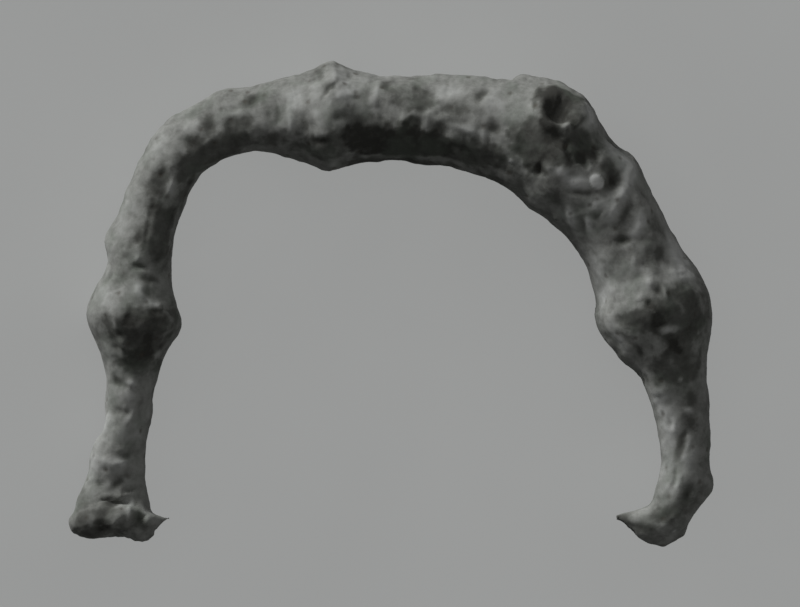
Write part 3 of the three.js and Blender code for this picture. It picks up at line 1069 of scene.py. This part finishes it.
class NodeGroups:
    """The repeated effects of the finishes, each built once."""

    def __init__(self) -> None:
        """Build both groups."""
        self.mottle = self.build_mottle()
        self.grain = self.build_grain()

    @staticmethod
    def start(name: str, inputs: dict[str, float | None], output: str) -> bpy.types.NodeTree:
        """Start a group with its sockets.

        Args:
            name: name of the group.
            inputs: each input's name with its first value, or None for a vector.
            output: name of the value that it gives.

        Returns:
            The group's tree with its input and output nodes.
        """
        tree = bpy.data.node_groups.new(name, "ShaderNodeTree")
        for label, value in inputs.items():
            kind = "NodeSocketVector" if value is None else "NodeSocketFloat"
            socket = tree.interface.new_socket(label, in_out="INPUT", socket_type=kind)
            if value is not None:
                socket.default_value = value
        tree.interface.new_socket(output, in_out="OUTPUT", socket_type="NodeSocketFloat")
        tree.nodes.new("NodeGroupInput")
        tree.nodes.new("NodeGroupOutput")
        return tree

    def build_mottle(self) -> bpy.types.NodeTree:
        """Build the group that makes cloudy patches with a soft edge.

        Returns:
            A group with a Mask output from 0 to 1.
        """
        inputs = {"Vector": None, "Per module": 1.0, "Detail": 3.0,
                  "Warp": 0.3, "Low": 0.4, "High": 0.6}
        tree = self.start("mottle", inputs, "Mask")
        nodes = Nodes(tree)
        given = tree.nodes["Group Input"].outputs
        cloud = nodes.add("TexNoise", {
            "Vector": given["Vector"],
            "Scale": given["Per module"],
            "Detail": given["Detail"],
            "Distortion": given["Warp"],
            "Roughness": 0.62,
        })
        edge = nodes.add("MapRange", {
            "Value": cloud.outputs["Fac"],
            "From Min": given["Low"],
            "From Max": given["High"],
        })
        edge.interpolation_type = "SMOOTHSTEP"
        nodes.fill(tree.nodes["Group Output"].inputs["Mask"], edge.outputs["Result"])
        return tree

    def build_grain(self) -> bpy.types.NodeTree:
        """Build the group that makes the finest grain of the crust.

        Returns:
            A group with a Height output.
        """
        tree = self.start("grain", {"Vector": None, "Per module": 3.0, "Pits": 0.5}, "Height")
        nodes = Nodes(tree)
        given = tree.nodes["Group Input"].outputs
        place = {"Vector": given["Vector"], "Scale": given["Per module"]}
        cloud = nodes.add("TexNoise", place | {"Detail": 4.0, "Roughness": 0.7})
        cells = nodes.add("TexVoronoi", place)
        cells.feature = "SMOOTH_F1"
        nodes.fill(cells.inputs["Smoothness"], 0.5)
        deep = nodes.reckon("MULTIPLY", cells.outputs["Distance"], given["Pits"])
        both = nodes.reckon("ADD", cloud.outputs["Fac"], deep)
        nodes.fill(tree.nodes["Group Output"].inputs["Height"], both)
        return tree


@dataclass(frozen=True)
class Patches:
    """Soft patches that a finish mixes in.

    Attributes:
        per_module: how fine they are.
        low: value of the noise at which a patch begins.
        high: value of the noise at which it is full.
        strength: how strong they are.
    """

    per_module: float
    low: float
    high: float
    strength: float

    def mask(self, nodes: Nodes, place: bpy.types.NodeSocket,
             groups: NodeGroups) -> bpy.types.NodeSocket:
        """Place the mottle group with these values and give its mask."""
        return nodes.group(groups.mottle, {"Vector": place, "Per module": self.per_module,
                                           "Low": self.low, "High": self.high})


@dataclass(frozen=True)
class BronzeFinish:
    """The finish of the corroded bronze.

    Attributes:
        steps: tones at which the colours stand, from the darkest patina to the palest crust.
        colours: the colours at those tones.
        green: colour of the mineral stain.
        earth: colour of the soil left in the hollows.
        small: small patches of paler and darker crust.
        stains: patches of mineral stain.
        dirt: flecks of soil.
        filled: how much soil the pits hold.
        rough: roughness of the crust.
        shine: how much the crust shines.
        grain_per_module: how fine the finest grain is.
        grain_depth: depth of the finest grain, in modules.
    """

    steps: tuple[float, ...] = (0.0, 0.3, 0.55, 0.8, 1.0)
    colours: tuple[Colour, ...] = (
        (0.045, 0.045, 0.040),
        (0.125, 0.128, 0.117),
        (0.285, 0.291, 0.275),
        (0.43, 0.44, 0.425),
        (0.56, 0.57, 0.555),
    )
    green: Colour = (0.16, 0.19, 0.155)
    earth: Colour = (0.07, 0.058, 0.045)
    small: Patches = Patches(1.5, 0.3, 0.7, 0.12)
    stains: Patches = Patches(0.3, 0.45, 0.7, 0.3)
    dirt: Patches = Patches(3.5, 0.6, 0.72, 0.18)
    filled: float = 0.5
    rough: float = 0.92
    shine: float = 0.25
    grain_per_module: float = 3.2
    grain_depth: float = 0.006

    def ramp(self, nodes: Nodes, tone: bpy.types.NodeSocket) -> bpy.types.NodeSocket:
        """Turn the tone into the colour of the crust.

        Args:
            nodes: what adds nodes to the material.
            tone: the tone, from 0 to 1.

        Returns:
            The socket with the colour.
        """
        ramp = nodes.add("ValToRGB", {"Fac": tone})
        stops = ramp.color_ramp.elements
        stops[0].position = self.steps[0]
        stops[1].position = self.steps[-1]
        for step in self.steps[1:-1]:
            stops.new(step)
        for stop, colour in zip(stops, self.colours):
            stop.color = (*colour, 1.0)
        return ramp.outputs["Color"]

    def crust(self, nodes: Nodes, place: bpy.types.NodeSocket,
              groups: NodeGroups) -> bpy.types.NodeSocket:
        """Mix the crust's colour from its tone, the mineral stain and the soil.

        Args:
            nodes: what adds nodes to the material.
            place: where on the brooch it is, in modules.
            groups: the shared node groups.

        Returns:
            The socket with the colour.
        """
        small = nodes.reckon("SUBTRACT", self.small.mask(nodes, place, groups), 0.5)
        small = nodes.reckon("MULTIPLY", small, self.small.strength)
        # the kept tone carries the painted light and painted shade of the marks as well as the
        # crust's own tone
        colour = self.ramp(nodes, nodes.reckon("ADD", nodes.kept("tone"), small))
        for patches, tint in ((self.stains, self.green), (self.dirt, self.earth)):
            mask = patches.mask(nodes, place, groups)
            colour = nodes.blend(nodes.reckon("MULTIPLY", mask, patches.strength), colour, tint)
        soil = nodes.reckon("MULTIPLY", nodes.kept("hollow"), self.filled)
        return nodes.blend(soil, colour, self.earth)

    def material(self, groups: NodeGroups) -> bpy.types.Material:
        """Build the material.

        Args:
            groups: the shared node groups.

        Returns:
            The finished material.
        """
        made = bpy.data.materials.new("corroded bronze")
        made.use_nodes = True
        nodes = Nodes(made.node_tree)
        spot = nodes.add("TexCoord", {}).outputs["Object"]
        scale = (1.0 / MODULE, 1.0 / MODULE, 1.0 / MODULE)
        place = nodes.add("Mapping", {"Vector": spot, "Scale": scale}).outputs["Vector"]
        grain = nodes.group(groups.grain, {"Vector": place, "Per module": self.grain_per_module})
        bump = nodes.add("Bump", {
            "Strength": 1.0,
            "Distance": self.grain_depth * MODULE,
            "Height": grain,
        })
        surface = made.node_tree.nodes["Principled BSDF"].inputs
        nodes.fill(surface["Base Color"], self.crust(nodes, place, groups))
        nodes.fill(surface["Roughness"], self.rough)
        nodes.fill(surface["Specular IOR Level"], self.shine)
        nodes.fill(surface["Normal"], bump.outputs["Normal"])
        return made


@dataclass(frozen=True)
class TableFinish:
    """The plain pale finish of the table.

    Attributes:
        colour: the table's colour.
        rough: its roughness.
        cloud: its faint unevenness, whose strength is how far it strays from the colour.
    """

    colour: Colour = (0.5, 0.508, 0.503)
    rough: float = 1.0
    cloud: Patches = Patches(25.0, 0.2, 0.8, 0.02)

    def material(self, groups: NodeGroups) -> bpy.types.Material:
        """Build the material.

        Args:
            groups: the shared node groups.

        Returns:
            The finished material.
        """
        made = bpy.data.materials.new("pale table")
        made.use_nodes = True
        nodes = Nodes(made.node_tree)
        place = nodes.add("TexCoord", {}).outputs["Object"]
        darker = tuple(part * (1.0 - self.cloud.strength) for part in self.colour)
        paler = tuple(part * (1.0 + self.cloud.strength) for part in self.colour)
        colour = nodes.blend(self.cloud.mask(nodes, place, groups), darker, paler)
        surface = made.node_tree.nodes["Principled BSDF"].inputs
        nodes.fill(surface["Base Color"], colour)
        nodes.fill(surface["Roughness"], self.rough)
        nodes.fill(surface["Specular IOR Level"], 0.0)
        return made


@dataclass
class FibulaBow:
    """The whole brooch, one corroded cast piece.

    Attributes:
        solid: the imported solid.
        corrosion: its skin.
        finish: its finish.
    """

    solid: Solid = field(default_factory=Solid)
    corrosion: Corrosion = field(default_factory=Corrosion)
    finish: BronzeFinish = field(default_factory=BronzeFinish)

    @staticmethod
    def stretches() -> tuple[Stretch, ...]:
        """Give the stretches of the bow.

        Returns:
            The stretches, from the left foot to the stump.
        """
        makers = (left_foot, left_leg, left_knob, left_shank, left_turn, crown, high_shank,
                  shoulder, right_shank, right_knob, right_leg, spring_stump)
        return tuple(make() for make in makers)

    def build(self, groups: NodeGroups) -> bpy.types.Object:
        """Build the piece and hand it to the frame.

        Args:
            groups: the shared node groups.

        Returns:
            The finished piece.
        """
        piece = self.solid.copy_mesh("corroded_fibula")
        self.corrosion.remesh(piece)
        line = self.corrosion.dress(piece, self.solid.centre(), self.stretches())
        LOG.info("bow line %.1f modules long", line.lengths[-1])
        piece.data.shade_smooth()
        piece.data.materials.clear()
        piece.data.materials.append(self.finish.material(groups))
        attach(piece, self.solid.body)
        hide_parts(self.solid.node)
        return piece


@dataclass
class Table:
    """The pale table that the brooch lies on.

    Attributes:
        reach: how many lengths of the brooch the table goes out.
        gap: how far below the brooch it lies, in modules.
        parts: how many squares it has along a side.
        finish: its finish.
    """

    reach: float = 20.0
    gap: float = 0.01
    parts: int = 4
    finish: TableFinish = field(default_factory=TableFinish)

    def build(self, solid: Solid, groups: NodeGroups) -> bpy.types.Object:
        """Build the table.

        Args:
            solid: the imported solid, for its length.
            groups: the shared node groups.

        Returns:
            The table's object.
        """
        sheet = bmesh.new()
        bmesh.ops.create_grid(sheet, x_segments=self.parts, y_segments=self.parts,
                              size=self.reach * solid.length() * MODULE)
        bmesh.ops.translate(sheet, verts=sheet.verts, vec=(0.0, 0.0, -self.gap * MODULE))
        mesh = bpy.data.meshes.new("table")
        sheet.to_mesh(mesh)
        sheet.free()
        table = bpy.data.objects.new("table", mesh)
        bpy.context.scene.collection.objects.link(table)
        mesh.materials.append(self.finish.material(groups))
        table.visible_diffuse = False
        return table


@dataclass(frozen=True)
class Sun:
    """A lamp that shines from far away.

    Attributes:
        name: its name.
        turn: direction that it comes from, in degrees from the right.
        height: how high it stands, in degrees.
        power: its strength.
        spread: how wide it is, in degrees.
        away: how far from the brooch it is drawn, in metres.
    """

    name: str
    turn: float
    height: float
    power: float
    spread: float
    away: float = 0.5

    def build(self, receivers: bpy.types.Collection) -> bpy.types.Object:
        """Add the lamp.

        Args:
            receivers: what it lights.

        Returns:
            The lamp.
        """
        lamp = bpy.data.lights.new(self.name, "SUN")
        lamp.energy = self.power
        lamp.angle = math.radians(self.spread)
        made = bpy.data.objects.new(self.name, lamp)
        turn, height = math.radians(self.turn), math.radians(self.height)
        level = math.cos(height)
        source = Vector((level * math.cos(turn), level * math.sin(turn), math.sin(height)))
        made.rotation_euler = source.to_track_quat("Z", "Y").to_euler()
        made.location = source * self.away
        bpy.context.scene.collection.objects.link(made)
        made.light_linking.receiver_collection = receivers
        return made


@dataclass
class Light:
    """The light: a low key, a soft light from above, a weak sky and a wash for the table.

    Attributes:
        key: the low key from the upper left.
        top: the soft light from above, which leans to the right.
        wash: the light that only the table gets.
        sky_power: strength of the light from all around.
        wall: colour that the camera sees past the table.
    """

    key: Sun = Sun("key", 131.0, 11.0, 3.0, 18.0)
    top: Sun = Sun("top", 10.0, 60.0, 0.32, 80.0)
    wash: Sun = Sun("wash", 0.0, 90.0, 1.75, 20.0)
    sky_power: float = 0.07
    wall: Colour = (0.31, 0.317, 0.313)

    def sky(self) -> bpy.types.World:
        """Build the sky, which lights weakly and looks like a plain wall.

        Returns:
            The world that holds it.
        """
        world = bpy.data.worlds.new("sky")
        world.use_nodes = True
        nodes = Nodes(world.node_tree)
        glow = world.node_tree.nodes["Background"]
        nodes.fill(glow.inputs["Color"], (1.0, 1.0, 1.0))
        nodes.fill(glow.inputs["Strength"], self.sky_power)
        wall = nodes.add("Background", {"Color": self.wall, "Strength": 1.0})
        ray = nodes.add("LightPath", {})
        mix = nodes.add("MixShader", {
            "Fac": ray.outputs["Is Camera Ray"],
            1: glow.outputs["Background"],
            2: wall.outputs["Background"],
        })
        surface = world.node_tree.nodes["World Output"].inputs["Surface"]
        nodes.fill(surface, mix.outputs["Shader"])
        return world

    def build(self, piece: bpy.types.Object, table: bpy.types.Object) -> None:
        """Light the piece and the table.

        Args:
            piece: the brooch.
            table: the table.
        """
        for_piece = bpy.data.collections.new("lit by the key")
        for_piece.objects.link(piece)
        for_table = bpy.data.collections.new("lit by the wash")
        for_table.objects.link(table)
        self.key.build(for_piece)
        self.top.build(for_piece)
        wash = self.wash.build(for_table)
        wash.light_linking.blocker_collection = for_table
        bpy.context.scene.world = self.sky()


@dataclass
class Camera:
    """The camera, which looks straight down from far off.

    Attributes:
        distance: height above the table in lengths of the brooch.
        margin: width of the picture in lengths of the brooch.
        right: how far right of the middle it stands, in lengths of the brooch.
        back: how far towards the top it stands, in lengths of the brooch.
        sensor: width of the sensor, in millimetres.
        near: how close it sees, in metres.
        far: how far it sees, in metres.
    """

    distance: float = 22.0
    margin: float = 1.2346
    right: float = 0.0146
    back: float = 0.0015
    sensor: float = 36.0
    near: float = 0.01
    far: float = 10.0

    def build(self, solid: Solid) -> bpy.types.Object:
        """Place the camera over the brooch.

        Args:
            solid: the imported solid, for its size and place.

        Returns:
            The camera.
        """
        length = solid.length() * MODULE
        middle = solid.centre() * MODULE
        view = bpy.data.cameras.new("camera")
        view.sensor_width = self.sensor
        height = self.distance * length
        view.lens = self.sensor * (height - middle[2]) / (self.margin * length)
        view.clip_start = self.near
        view.clip_end = self.far
        made = bpy.data.objects.new("camera", view)
        made.location = (middle[0] + self.right * length, middle[1] + self.back * length, height)
        bpy.context.scene.collection.objects.link(made)
        bpy.context.scene.camera = made
        return made


def main() -> None:
    """Build the scene in order and report each piece."""
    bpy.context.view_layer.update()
    groups = NodeGroups()
    bow = FibulaBow()
    camera = Camera().build(bow.solid)
    LOG.info("camera %.3f m up, lens %.0f mm", camera.location.z, camera.data.lens)
    piece = bow.build(groups)
    LOG.info("%s: %d vertices, %d faces", piece.name, len(piece.data.vertices),
             len(piece.data.polygons))
    table = Table().build(bow.solid, groups)
    LOG.info("%s laid", table.name)
    Light().build(piece, table)
    bpy.context.scene.view_settings.view_transform = "Standard"


if __name__ == "__main__":
    main()
